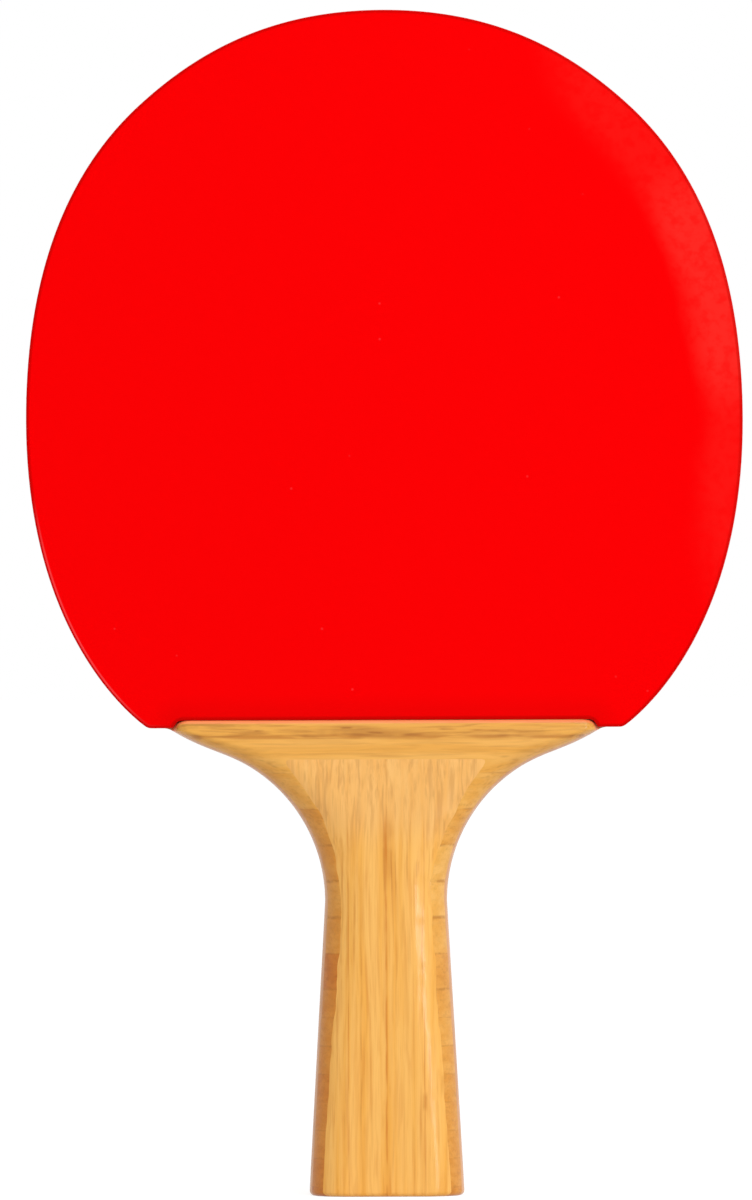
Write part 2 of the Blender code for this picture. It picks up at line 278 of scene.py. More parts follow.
# Dark streaks in the top level strip, in mm: height, left and right end, half width, darkness
RAMP_STREAKS = (
    (97.15, -21.0, -9.0, 0.42, 0.45), (97.00, -18.5, -13.6, 0.55, 0.55),
    (98.60, -9.9, -6.5, 0.34, 0.70), (97.75, -4.4, 0.2, 0.36, 0.65),
    (96.95, -39.2, -31.4, 0.42, 0.35), (98.15, -28.0, -25.2, 0.32, 0.65),
    (97.35, 2.8, 8.8, 0.48, 0.80), (98.45, 10.5, 15.6, 0.34, 0.70),
    (98.15, 17.1, 25.3, 0.36, 0.65), (96.95, 17.1, 30.3, 0.42, 0.65),
    (97.60, -25.0, 15.0, 1.60, 0.50), (97.50, 13.0, 38.0, 1.40, 0.30),
    (98.90, -16.0, 0.0, 0.50, 0.35), (97.20, -12.5, -2.0, 0.42, 0.60),
    (97.40, -33.0, -23.0, 0.36, 0.35),
)

# The rubber's round face: half width, height of its middle, and half height
ROUND_HALF_WIDTH = 75.5
ROUND_MIDDLE = 163.5
ROUND_HALF_HEIGHT = 86.5

# Painted sheen, partly dust, on the rubber, measured from the middle of its round face, with 1 at
# its edge
SHEEN_BAND = (0.855, 0.95)
SHEEN_WANDER = 0.08
SHEEN_LEAN = 0.35
LEANING_SHEEN = (0.70, 0.87, 0.0, 0.24)
SHEEN_PEAK = (0.93, 0.33, 0.0)
PEAK_SHEEN = (0.18, 0.36, 0.50, 0.0)
MOTTLE = (0.55, 4.0, 0.65)
MOTTLED_SHEEN = (0.32, 0.60, 0.55, 1.1)
CLOUD_WAVES = 0.06

# Painted glint on the rubber's cut edge around one place of its round face, and how far in it lies
GLINT_PLACE = (-0.86, -0.50, 0.0)
GLINT_REACH = (0.16, 0.36)
GLINT_INNER = (0.60, 0.89, 1.0, 0.0)
GLINT_OUTER = (0.30, 0.55)

# Specks, shades by distance from the scale or the edge, and grain of the rubber
SPECK_WAVES = 0.16
SPECK_SIZE = (0.02, 0.06, 1.0, 0.0)
SPECK_CHOICE = (0.60, 0.90)
SPECK_SHARE = 0.35
CREASE_OUTER = (0.30, 1.30, 0.92, 0.0)
CREASE_INNER = (0.05, 0.35, 0.20, 1.0)
SCALE_SHADE = (0.50, 6.50, 0.24, 0.0)
EDGE_SHADE = (0.40, 0.90, 0.66, 0.0)
RUBBER_GRAIN = (2.6, 3.0, 0.6)
RUBBER_SHEEN = 0.06
RUBBER_BUMP = (0.3, 0.00003)
RUBBER_SPECULAR = 0.35

# Sponge
PORE_WAVES = 4.5
PORE_SIZE = (0.10, 0.55)
PORE_BUMP = (0.6, 0.00008)
SPONGE_ROUGHNESS = 0.9

# Floor and light all round
FLOOR_RADIUS = 12.0
FLOOR_SIDES = 64
FLOOR_GREY = (0.30,) * 3
FLOOR_GLOW = 0.84
FLOOR_BOUNCE = (0.75,) * 3
WORLD_LIGHT = 0.60

# Lamps: azimuth and elevation in degrees, distance, width and height in metres, power in watts
LAMPS = (
    ("overhead_softbox", 28.0, 38.0, 2.2, 1.4, 1.6, 20.8),
    ("right_strip_light", 34.0, -3.0, 1.5, 0.24, 0.50, 5.4),
    ("right_side_softbox", 100.0, 8.0, 1.8, 2.40, 1.6, 2.6),
)
LAMP_TARGET = (0.0, 0.0, 0.12)

# Camera
CAMERA_SIDE = -0.0019
CAMERA_DISTANCE = 2.4
CAMERA_HEIGHT = 0.1256
CAMERA_ROLL = 0.2
VIEW_HEIGHT = 0.2529
SENSOR_WIDTH = 36.0
CLIP_START = 0.1
CLIP_END = 100.0


def knot(half_width, height, lean, pull_before, pull_after):
    """Point that an outline passes, with its Bezier handles along a lean from the vertical."""
    way = Vector((math.sin(math.radians(lean)), math.cos(math.radians(lean))))
    point = Vector((half_width, height))
    return point - way * pull_before, point, point + way * pull_after


def curve(knots, steps):
    """Points along the Bezier curve through some knots."""
    points = [knots[0][1]]
    for start, end in zip(knots, knots[1:]):
        stretch = interpolate_bezier(start[1], start[2], end[0], end[1], steps + 1)
        points += [Vector(p) for p in stretch[1:]]
    return points


def edge_inset(distance, radius):
    """How far a rounded edge draws a face in at a distance from that edge."""
    if distance >= radius:
        return 0.0
    return radius - math.sqrt(radius**2 - (radius - distance) ** 2)


SIDE = curve(
    (
        knot(END_HALF_WIDTH, 0.0, END_LEAN, 0.0, END_PULL),
        knot(WAIST_HALF_WIDTH, WAIST_HEIGHT, 0.0, WAIST_PULL_DOWN, WAIST_PULL_UP),
        knot(NECK_HALF_WIDTH, SHOULDER_HEIGHT - NECK_DROP, NECK_LEAN, NECK_PULL_DOWN, NECK_PULL_UP),
        knot(WING_HALF_WIDTH, SHOULDER_HEIGHT - WING_DROP, WING_LEAN, WING_PULL, STEP_PULL),
    ),
    STEPS,
)


def half_width(height):
    """Half width of the neck and handle at a height."""
    for low, high in zip(SIDE, SIDE[1:]):
        if height <= high.y:
            share = (height - low.y) / (high.y - low.y)
            return low.x + share * (high.x - low.x)
    return SIDE[-1].x


def rounded_half_width(height):
    """Half width of the neck and handle, with the end face's rounded edge."""
    return half_width(height) - edge_inset(height, END_ROUND)


def scale_half_width(height):
    """Half width of a handle scale, whose top corners are rounded off."""
    if height <= SCALE_CORNER_START:
        return rounded_half_width(height)
    share = min((height - SCALE_CORNER_START) / SCALE_CORNER_DROP, 1.0)
    return half_width(SCALE_CORNER_START) - SCALE_CORNER_WIDTH * (1 - math.sqrt(1 - share**2))


QUARTER_TURN = [math.pi / 2 * (i / FILLET_STEPS) for i in range(FILLET_STEPS + 1)]
END_HEIGHTS = [END_ROUND * (1 - math.cos(turn)) for turn in QUARTER_TURN]
CORNER_HEIGHTS = [
    SCALE_CORNER_START + SCALE_CORNER_DROP * math.sin(turn) for turn in QUARTER_TURN
]
RIM_HEIGHTS = [SCALE_TOP - SCALE_CORNER_DROP * i / RIM_STEPS for i in range(RIM_STEPS + 1)]
RIM_POINTS = [Vector((scale_half_width(height), height)) for height in RIM_HEIGHTS]


def blend(start, end, share):
    """Smooth step from one value to the next."""
    share = min(max(share, 0.0), 1.0)
    return start + (end - start) * share * share * (3 - 2 * share)


def roundover(height):
    """Width of the scale's rounded side at a height."""
    if height >= NECK_ROUNDOVER_HEIGHT:
        share = (height - NECK_ROUNDOVER_HEIGHT) / (SCALE_TOP - NECK_ROUNDOVER_HEIGHT)
        width = blend(ROUNDOVER_AT_NECK, ROUNDOVER_AT_TOP, share)
    elif height >= WAIST_HEIGHT:
        share = (height - WAIST_HEIGHT) / (NECK_ROUNDOVER_HEIGHT - WAIST_HEIGHT)
        width = blend(ROUNDOVER_AT_WAIST, ROUNDOVER_AT_NECK, share)
    else:
        width = blend(ROUNDOVER_AT_END, ROUNDOVER_AT_WAIST, height / WAIST_HEIGHT)
    return min(width, scale_half_width(height) - LEAST_FLAT)


def crown(height):
    """Depth of the scale's surface along its middle: flat handle, then the ramp to the rim."""
    share = max(height - (SCALE_TOP - RAMP_LENGTH), 0.0) / RAMP_LENGTH
    depth = HANDLE_DEPTH - (HANDLE_DEPTH - RIM_DEPTH) * share**2
    return depth - edge_inset(height, END_ROUND) - edge_inset(SCALE_TOP - height, RIM_ROUND)


def sanding(height, side):
    """Waves in depth that hand sanding leaves along a rounded side, fading out at its ends."""
    waves = sum(
        share * noise.noise(Vector((side * shift, line, height * per_metre)))
        for shift, line, per_metre, share in SANDING_WAVES
    )
    fade = blend(0.0, 1.0, (height - SANDING_START) / SANDING_FADE)
    fade *= blend(1.0, 0.0, (height - SANDING_END + SANDING_FADE) / SANDING_FADE)
    return SANDING * fade * waves


def sculpted_point(height, across):
    """Point of the scale's surface, with across from -1 at its left side to 1 at its right."""
    width = roundover(height)
    flat = scale_half_width(height) - width
    share = abs(across)
    if share < FLAT_SHARE:
        x = flat * share / FLAT_SHARE
        depth = crown(height)
    else:
        turn = (share - FLAT_SHARE) / (1 - FLAT_SHARE) * math.pi / 2
        x = flat + width * math.sin(turn)
        depth = BLADE_DEPTH + (crown(height) - BLADE_DEPTH) * math.cos(turn)
        side = math.copysign(1.0, across)
        depth += sanding(height, side) * math.sin(2 * turn) * math.sin(turn)
    return Vector((math.copysign(x, across), -depth, height))


def scale_heights():
    """Heights of the rows of the scale's surface, closer together at its rounded ends."""
    rim = [SCALE_TOP - RIM_ROUND * (1 - math.cos(turn)) for turn in QUARTER_TURN]
    span = SCALE_CORNER_START - END_ROUND
    count = round(span / ROW_PITCH)
    middle = [END_ROUND + span * i / count for i in range(1, count)]
    rows = []
    for height in sorted(END_HEIGHTS + middle + CORNER_HEIGHTS + rim):
        if not rows or height - rows[-1] > LEAST_ROW_GAP:
            rows.append(height)
    return rows


def scale_block():
    """Front handle scale in one piece: a fine grid draped over its surface, made solid."""
    heights = scale_heights()
    rows = len(heights) - 1
    bm = bmesh.new()
    bmesh.ops.create_grid(bm, x_segments=COLUMNS, y_segments=rows, size=1.0)
    for vert in bm.verts:
        row = round((vert.co.y + 1) / 2 * rows)
        vert.co = sculpted_point(heights[row], vert.co.x)
    grown = bmesh.ops.extrude_face_region(bm, geom=bm.faces[:])
    for vert in grown["geom"]:
        if isinstance(vert, bmesh.types.BMVert):
            vert.co.y = 0.0
    bmesh.ops.recalc_face_normals(bm, faces=bm.faces)
    return bm


def cut_off(bm, point, way):
    """Saw a solid at a plane, drop what lies on the way's side, and close the cut."""
    geometry = bm.verts[:] + bm.edges[:] + bm.faces[:]
    bmesh.ops.bisect_plane(
        bm, geom=geometry, dist=SAW_TOLERANCE, plane_co=point, plane_no=way, clear_outer=True
    )
    open_edges = [edge for edge in bm.edges if edge.is_boundary]
    if open_edges:
        bmesh.ops.holes_fill(bm, edges=open_edges, sides=0)


def keep_between(bm, axis, low, high):
    """Saw a solid down to what lies between two planes across an axis; None leaves a side."""
    way = Vector((0.0, 0.0, 0.0))
    way[axis] = 1.0
    if low is not None:
        cut_off(bm, way * low, -way)
    if high is not None:
        cut_off(bm, way * high, way)


def add_object(name, data):
    """Object that the scene holds."""
    item = bpy.data.objects.new(name, data)
    bpy.context.scene.collection.objects.link(item)
    return item


def add_piece(name, bm, material, replaced):
    """Turn a bmesh into a piece that rides on the racket and stands for its CAD node."""
    mesh = bpy.data.meshes.new(name)
    bm.to_mesh(mesh)
    bm.free()
    mesh.shade_smooth()
    mesh.set_sharp_from_angle(angle=math.radians(SHARP_ANGLE))
    mesh.materials.append(material)
    piece = add_object(name, mesh)
    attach(piece, "root")
    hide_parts(replaced)
    return piece


def rim_distance(point):
    """Distance from the scale's top edge and its two rounded corners, seen from the front."""
    place = Vector((abs(point.x), point.z))
    if place.x < RIM_POINTS[0].x:
        return abs(SCALE_TOP - place.y)
    return min((place - p).length for p in RIM_POINTS)


def store(piece, name, measure):
    """Store under a name, for the materials to read, what a measure gives at each point."""
    mesh = piece.data
    numbers = [measure(vert.co) for vert in mesh.vertices]
    mesh.attributes.new(name, "FLOAT", "POINT").data.foreach_set("value", numbers)


def mark_strip(piece, seed, tones, figure=0.0, joints=(0, ())):
    """Store what the wood reads: seed, tone from left to right, figure, and distances.

    Joints are the axis across them, and each joint's place with how much fainter it is.
    """
    left, right = tones
    axis, planes = joints

    def joint_distance(point):
        gaps = [abs(point[axis] - plane) + faint for plane, faint in planes]
        return min(gaps, default=NO_JOINT_NEAR)

    store(piece, "seed", lambda point: seed)
    store(piece, "tone", lambda point: blend(left, right, 0.5 + point.x / TONE_SPAN))
    store(piece, "figure", lambda point: figure)
    store(piece, "joint", lambda point: joint_distance(point) * MILLIMETRES)
    store(piece, "rim", lambda point: rim_distance(point) * MILLIMETRES)


def put_on_side(bm, side):
    """Turn a solid made for the red side (-1) over to the black side (1)."""
    if side > 0:
        bmesh.ops.scale(bm, vec=(1.0, -1.0, 1.0), verts=bm.verts)
        bmesh.ops.reverse_faces(bm, faces=bm.faces)


def feed(tree, node, inputs):
    """Feed a node's inputs with sockets, values, or colours given as three numbers."""
    for key, value in inputs.items():
        if isinstance(value, bpy.types.NodeSocket):
            tree.links.new(value, node.inputs[key])
        elif node.inputs[key].type == "RGBA":
            node.inputs[key].default_value = (*value, 1.0)
        else:
            node.inputs[key].default_value = value


def add_node(tree, kind, inputs=None, **settings):
    """Add a shader node, set its properties, and feed its inputs."""
    made = tree.nodes.new("ShaderNode" + kind)
    for name, value in settings.items():
        setattr(made, name, value)
    feed(tree, made, inputs or {})
    return made


def calculate(tree, operation, first, second=0.0, third=0.0, clamp=False):
    """Output of a Math node."""
    inputs = {0: first, 1: second}
    if operation == "MULTIPLY_ADD":
        inputs[2] = third
    return add_node(tree, "Math", inputs, operation=operation, use_clamp=clamp).outputs[0]


def product(tree, first, *others):
    """Product of two or more values."""
    for other in others:
        first = calculate(tree, "MULTIPLY", first, other)
    return first


def vector(tree, operation, first, second):
    """Output of a Vector Math node."""
    return add_node(tree, "VectorMath", {0: first, 1: second}, operation=operation).outputs[0]


def length(tree, arrow):
    """Length of a vector."""
    return add_node(tree, "VectorMath", {0: arrow}, operation="LENGTH").outputs["Value"]


def split_axes(tree, place):
    """X, Y and Z of a place."""
    return add_node(tree, "SeparateXYZ", {0: place}).outputs


def join_axes(tree, *values):
    """Place made of an X, a Y and a Z."""
    return add_node(tree, "CombineXYZ", dict(enumerate(values))).outputs[0]


def ramp(tree, value, low, high, start=0.0, end=1.0, smooth=True):
    """Value mapped from one range to another, clamped, smooth where asked."""
    kind = "SMOOTHSTEP" if smooth else "LINEAR"
    inputs = {"Value": value, "From Min": low, "From Max": high, "To Min": start, "To Max": end}
    return add_node(tree, "MapRange", inputs, interpolation_type=kind).outputs["Result"]


def mix_colours(tree, factor, first, second, blend_type="MIX"):
    """Two colours mixed."""
    inputs = {0: factor, 6: first, 7: second}
    return add_node(tree, "Mix", inputs, data_type="RGBA", blend_type=blend_type).outputs[2]


def noise_value(tree, place, waves, detail, roughness=0.5, distortion=0.0):
    """Noise, about 0.5 on average; waves are per mm, one number or one for each axis."""
    if isinstance(waves, tuple):
        place = vector(tree, "MULTIPLY", place, waves)
        waves = 1.0
    inputs = {
        "Vector": place, "Scale": waves, "Detail": detail, "Roughness": roughness,
        "Distortion": distortion,
    }
    return add_node(tree, "TexNoise", inputs).outputs["Fac"]


def cells(tree, place, waves):
    """Voronoi texture: distance from the middle of each cell, and a colour for each cell."""
    inputs = {"Vector": place, "Scale": waves, "Randomness": 1.0}
    return add_node(tree, "TexVoronoi", inputs).outputs


def red_part(tree, colour):
    """Red part of a colour."""
    return add_node(tree, "SeparateColor", {0: colour}).outputs[0]


def bump(tree, height, strength, distance):
    """Normal of a surface with fine relief, as deep as a distance in metres."""
    inputs = {"Height": height, "Strength": strength, "Distance": distance}
    return add_node(tree, "Bump", inputs).outputs["Normal"]


def new_group(name, inputs, outputs):
    """Empty shader node group, its sockets named under their kinds.

    Returns the group, the sockets that it is given, and the node that takes its results.
    """
    tree = bpy.data.node_groups.new(name, "ShaderNodeTree")
    for in_out, sockets in (("INPUT", inputs), ("OUTPUT", outputs)):
        for kind, labels in sockets.items():
            for label in labels.split():
                tree.interface.new_socket(label, in_out=in_out, socket_type="NodeSocket" + kind)
    return tree, tree.nodes.new("NodeGroupInput").outputs, tree.nodes.new("NodeGroupOutput")


def bamboo_grain_group():
    """Bamboo cut along its fibres: dark fibre bundles, fine fibres and broad bands of tone.

    Place is in millimetres, with X across the grain, Y through the ply and Z along the grain.
    """
    tree, given, result = new_group(
        "bamboo_grain",
        {"Vector": "Place", "Float": "Seed Tone Figure Bundles Fine", "Color": "Pale Honey Fibre"},
        {"Color": "Color", "Float": "Roughness Height"},
    )
    seeds = join_axes(tree, given["Seed"], given["Seed"], given["Seed"])
    place = vector(tree, "ADD", given["Place"], vector(tree, "MULTIPLY", SEED_SHIFT, seeds))
    sway_place = vector(tree, "MULTIPLY", place, SWAY_WAVES)
    sway = add_node(tree, "TexNoise", {"Vector": sway_place, "Scale": 1.0, "Detail": 1.0})
    sway = vector(tree, "SUBTRACT", sway.outputs["Color"], (0.5, 0.5, 0.5))
    swayed = vector(tree, "ADD", place, vector(tree, "MULTIPLY", sway, SWAY))

    bundles = cells(tree, vector(tree, "MULTIPLY", swayed, BUNDLE_WAVES), 1.0)
    core = ramp(tree, bundles["Distance"], *BUNDLE_EDGE, 1.0, 0.0)
    chosen = ramp(tree, red_part(tree, bundles["Color"]), *BUNDLE_CHOICE)
    bundle = calculate(tree, "MULTIPLY", product(tree, core, chosen), given["Bundles"], clamp=True)
    fine = noise_value(tree, swayed, FINE_WAVES, 2.0)
    broad = ramp(tree, noise_value(tree, swayed, BROAD_WAVES, 2.0), *BROAD_RANGE)
    darker = product(tree, ramp(tree, fine, *FINE_DARK_RANGE, 0.0, FINE_DARKENING), given["Fine"])
    lighter = product(tree, ramp(tree, fine, *FINE_PALE_RANGE, 0.0, FINE_LIGHTENING), given["Fine"])
    flame = noise_value(tree, swayed, FLAME_WAVES, 4.0, distortion=FLAME_DISTORTION)
    flame = ramp(tree, flame, *FLAME_RANGE)
    flame = calculate(tree, "MULTIPLY", flame, given["Figure"], clamp=True)

    colour = mix_colours(tree, broad, given["Pale"], given["Honey"])
    for share, tint in ((darker, "Fibre"), (bundle, "Fibre"), (lighter, "Pale"), (flame, "Fibre")):
        colour = mix_colours(tree, share, colour, given[tint])
    level = calculate(tree, "ADD", given["Tone"], 1.0)
    green = calculate(tree, "POWER", level, GREEN_POWER)
    blue = calculate(tree, "POWER", level, BLUE_POWER)
    warmth = add_node(tree, "CombineColor", {
        0: level,
        1: product(tree, green, ramp(tree, level, *DARK_GREEN)),
        2: product(tree, blue, ramp(tree, level, *DARK_BLUE)),
    }).outputs[0]
    feed(tree, result, {
        "Color": mix_colours(tree, 1.0, colour, warmth, "MULTIPLY"),
        "Roughness": ramp(tree, fine, *FINE_RANGE, *WOOD_ROUGHNESS),
        "Height": calculate(tree, "MULTIPLY_ADD", bundle, BUNDLE_DENT, fine),
    })
    return tree


def joint_group():
    """Thin dark glue line where two strips or plies meet."""
    tree, given, result = new_group(
        "glue_joint",
        {"Vector": "Place", "Float": "Distance Width Strength", "Color": "Color Glue"},
        {"Color": "Color"},
    )
    near = calculate(tree, "DIVIDE", given["Distance"], given["Width"])
    near = ramp(tree, near, *GLUE_EDGE, 1.0, 0.0)
    patchy = ramp(tree, noise_value(tree, given["Place"], GLUE_WAVES, 1.0), *GLUE_PATCHES)
    near = product(tree, patchy, given["Strength"], near)
    feed(tree, result, {"Color": mix_colours(tree, near, given["Color"], given["Glue"])})
    return tree


def fibre_group():
    """Mask of one long dark fibre, slightly wavy, that fades out at its two ends."""
    tree, given, result = new_group(
        "dark_fibre",
        {"Vector": "Place", "Float": "Across Low High Width Strength"},
        {"Float": "Mask"},
    )
    across, through, along = split_axes(tree, given["Place"])
    wander = noise_value(tree, given["Place"], WANDER_WAVES, 1.0)
    wander = calculate(tree, "MULTIPLY_ADD", wander, WANDER, -WANDER / 2)
    offset = calculate(tree, "SUBTRACT", across, calculate(tree, "ADD", given["Across"], wander))
    near = calculate(tree, "DIVIDE", calculate(tree, "ABSOLUTE", offset), given["Width"])
    near = ramp(tree, near, *FIBRE_EDGE, 1.0, 0.0)
    from_end = calculate(
        tree, "MINIMUM", calculate(tree, "SUBTRACT", along, given["Low"]),
        calculate(tree, "SUBTRACT", given["High"], along),
    )
    fade = product(tree, calculate(tree, "SUBTRACT", given["High"], given["Low"]), FIBRE_FADE)
    near = product(tree, near, ramp(tree, calculate(tree, "DIVIDE", from_end, fade), 0.0, 1.0))
    patchy = ramp(tree, noise_value(tree, given["Place"], FADE_WAVES, 1.0), *FIBRE_PATCHES)
    near = product(tree, patchy, given["Strength"], near)
    on_front = calculate(tree, "LESS_THAN", through, 0.0)
    feed(tree, result, {"Mask": product(tree, near, on_front)})
    return tree


def object_place(tree, order=ALONG_HANDLE):
    """Object coordinates in millimetres, with their axes put in a given order."""
    split = split_axes(tree, add_node(tree, "TexCoord").outputs["Object"])
    joined = join_axes(tree, *(split[axis] for axis in order))
    return vector(tree, "MULTIPLY", joined, (MILLIMETRES,) * 3)


def new_material(name):
    """Material with its node tree and its Principled BSDF."""
    material = bpy.data.materials.new(name)
    material.use_nodes = True
    tree = material.node_tree
    return material, tree, tree.nodes["Principled BSDF"]


def ply_distance(tree):
    """Distance from the nearest glue line between the blade's plies, in millimetres."""
    depth = calculate(tree, "ABSOLUTE", split_axes(tree, object_place(tree))[1])
    gaps = [
        calculate(tree, "ABSOLUTE", calculate(tree, "SUBTRACT", depth, level * MILLIMETRES))
        for level in (CORE_DEPTH, INNER_DEPTH)
    ]
    return calculate(tree, "MINIMUM", *gaps)


def attribute(tree, name):
    """Value that a piece stores under a name."""
    return add_node(tree, "Attribute", attribute_name=name).outputs["Fac"]


GRAIN = bamboo_grain_group()
JOINT = joint_group()
FIBRE = fibre_group()


def bamboo_material(
    name, order, pale, honey, fibres, bundles, glue, joint_width, joint_strengths,
    fine=1.0, cut_share=0.0, ramp_figure=1.0, lines=(), line_colour=BLACK,
):
    """Lacquered bamboo; order says which object axes run across, through and along the grain.

    Fibres, bundles and the joints' strengths are each for the level handle and for the ramp,
    which cuts across the fibres and bares their pale ends.
    """
    material, tree, shader = new_material(name)
    place = object_place(tree, order)
    height = split_axes(tree, object_place(tree))[2]
    on_ramp = ramp(tree, height, RAMP_LOOK_START, RAMP_LOOK_FULL)
    figure = ramp(tree, on_ramp, 0.0, 1.0, 1.0, ramp_figure, smooth=False)
    grown = add_node(tree, "Group", {
        "Place": place,
        "Seed": attribute(tree, "seed"),
        "Tone": attribute(tree, "tone"),
        "Figure": product(tree, attribute(tree, "figure"), figure),
        "Bundles": ramp(tree, on_ramp, 0.0, 1.0, *bundles, smooth=False),
        "Fine": fine,
        "Pale": pale,
        "Honey": honey,
        "Fibre": mix_colours(tree, on_ramp, *fibres),
    }, node_tree=GRAIN).outputs
    colour = mix_colours(tree, product(tree, on_ramp, cut_share), grown["Color"], CUT_TINT)
    for across, low, high, width, darkness in lines:
        mask = add_node(tree, "Group", {
            "Place": place, "Across": across, "Low": low, "High": high, "Width": width,
            "Strength": darkness,
        }, node_tree=FIBRE).outputs["Mask"]
        colour = mix_colours(tree, mask, colour, line_colour)
    strength = ramp(tree, on_ramp, RAMP_JOINT_START, 1.0, *joint_strengths, smooth=False)
    for distance, width in (
        (attribute(tree, "joint"), joint_width), (ply_distance(tree), BLADE_JOINT_WIDTH)
    ):
        colour = add_node(tree, "Group", {
            "Color": colour, "Place": place, "Distance": distance, "Width": width, "Glue": glue,
            "Strength": strength,
        }, node_tree=JOINT).outputs["Color"]
    # Painted highlight: the rounded rim at the scale's top is tinted light and reddish
    rim = ramp(tree, attribute(tree, "rim"), *RIM_HIGHLIGHT_REACH)
    feed(tree, shader, {
        "Base Color": mix_colours(tree, rim, colour, RIM_HIGHLIGHT_TINT),
        "Roughness": grown["Roughness"],
        "Normal": bump(tree, grown["Height"], *GRAIN_BUMP),
        "Specular IOR Level": WOOD_SPECULAR,
        "Coat Weight": LACQUER_WEIGHT,
        "Coat Roughness": LACQUER_ROUGHNESS,
        "Coat Normal": bump(tree, noise_value(tree, place, LACQUER_WAVES, 1.0), *LACQUER_BUMP),
    })
    return material


def handle_distance(tree, place):
    """Distance from a scale's straight top end and its two round corners, in millimetres."""
    split = split_axes(tree, place)
    corner = (half_width(SCALE_CORNER_START) - SCALE_CORNER_WIDTH) * MILLIMETRES
    across = calculate(tree, "SUBTRACT", calculate(tree, "ABSOLUTE", split[0]), corner)
    up = calculate(tree, "SUBTRACT", split[2], SCALE_CORNER_START * MILLIMETRES)
    outside = [calculate(tree, "MAXIMUM", value, 0.0) for value in (across, up)]
    reach = length(tree, join_axes(tree, *outside, 0.0))
    return calculate(tree, "SUBTRACT", reach, SCALE_CORNER_DROP * MILLIMETRES)


def sheen_share(tree, place, across, up, round_place):
    """How far the painted sheen, partly dust, covers the rubber: most near one place of its edge,
    and mottled.
    """
    cloud = noise_value(tree, place, CLOUD_WAVES, 2.0)
    cloud = calculate(tree, "MULTIPLY_ADD", cloud, SHEEN_WANDER, -SHEEN_WANDER / 2)
    band = ramp(tree, calculate(tree, "ADD", length(tree, round_place), cloud), *SHEEN_BAND)
    leaning = ramp(tree, calculate(tree, "MULTIPLY_ADD", up, SHEEN_LEAN, across), *LEANING_SHEEN)
    from_peak = length(tree, vector(tree, "SUBTRACT", round_place, SHEEN_PEAK))
    peak = ramp(tree, from_peak, *PEAK_SHEEN)
    mottle = ramp(tree, noise_value(tree, place, *MOTTLE), *MOTTLED_SHEEN)
    return product(tree, band, calculate(tree, "ADD", leaning, peak), mottle)


def speck_share(tree, place):
    """Share of dust in a few small specks."""
    specks = cells(tree, place, SPECK_WAVES)
    chosen = ramp(tree, red_part(tree, specks["Color"]), *SPECK_CHOICE)
    return product(tree, ramp(tree, specks["Distance"], *SPECK_SIZE), chosen, SPECK_SHARE)


def shade_share(tree, place, edge):
    """Share of shade in the crease at the scale, around the scale, and at the cut edge."""
    gap = handle_distance(tree, place)
    crease = product(tree, ramp(tree, gap, *CREASE_OUTER), ramp(tree, gap, *CREASE_INNER))
    dark = calculate(tree, "MAXIMUM", crease, ramp(tree, gap, *SCALE_SHADE))
    return calculate(tree, "MAXIMUM", dark, ramp(tree, edge, *EDGE_SHADE))


def rubber_material(name, rubber, shade, bloom_and_sheen, dust_and_glint, tint, roughness, sheen_on_edge):
    """Topsheet: matt rubber, dust specks, a mottled painted sheen partly of dust, painted shade at
    the scale and edges, and a painted edge glint.
    """
    material, tree, shader = new_material(name)
    place = object_place(tree)
    edge = attribute(tree, "edge")
    split = split_axes(tree, place)
    across = calculate(tree, "DIVIDE", split[0], ROUND_HALF_WIDTH)
    up = calculate(tree, "SUBTRACT", split[2], ROUND_MIDDLE)
    up = calculate(tree, "DIVIDE", up, ROUND_HALF_HEIGHT)
    round_place = join_axes(tree, across, up, 0.0)

    # Painted sheen, partly dust, most near the rubber's right edge
    sheen_cover = product(tree, sheen_share(tree, place, across, up, round_place), sheen_on_edge)
    # Painted glint: a thin pale line on the cut edge near its lower left, in the same colour as the
    # specks
    from_glint = length(tree, vector(tree, "SUBTRACT", round_place, GLINT_PLACE))
    edge_glint = product(tree, ramp(tree, edge, *GLINT_OUTER), ramp(tree, edge, *GLINT_INNER))
    edge_glint = product(tree, edge_glint, ramp(tree, from_glint, *GLINT_REACH, sheen_on_edge, 0.0))
    colour = mix_colours(tree, sheen_cover, rubber, bloom_and_sheen)
    for share, tone in (
        (speck_share(tree, place), dust_and_glint), (shade_share(tree, place, edge), shade), (edge_glint, dust_and_glint)
    ):
        colour = mix_colours(tree, share, colour, tone)
    fine = noise_value(tree, place, *RUBBER_GRAIN)
    sheen = roughness - RUBBER_SHEEN, roughness + RUBBER_SHEEN
    feed(tree, shader, {
        "Base Color": colour,
        "Roughness": ramp(tree, fine, *FINE_RANGE, *sheen),
        "Normal": bump(tree, fine, *RUBBER_BUMP),
        "Specular Tint": tint,
        "Specular IOR Level": RUBBER_SPECULAR,
    })
    return material


def sponge_material(name, colour, pore):
    """Foam with open pores at its cut edge."""
    material, tree, shader = new_material(name)
    pores = cells(tree, object_place(tree), PORE_WAVES)
    depth = ramp(tree, pores["Distance"], *PORE_SIZE)
    feed(tree, shader, {
        "Base Color": mix_colours(tree, depth, pore, colour),
        "Roughness": SPONGE_ROUGHNESS,
        "Normal": bump(tree, depth, *PORE_BUMP),
    })
    return material


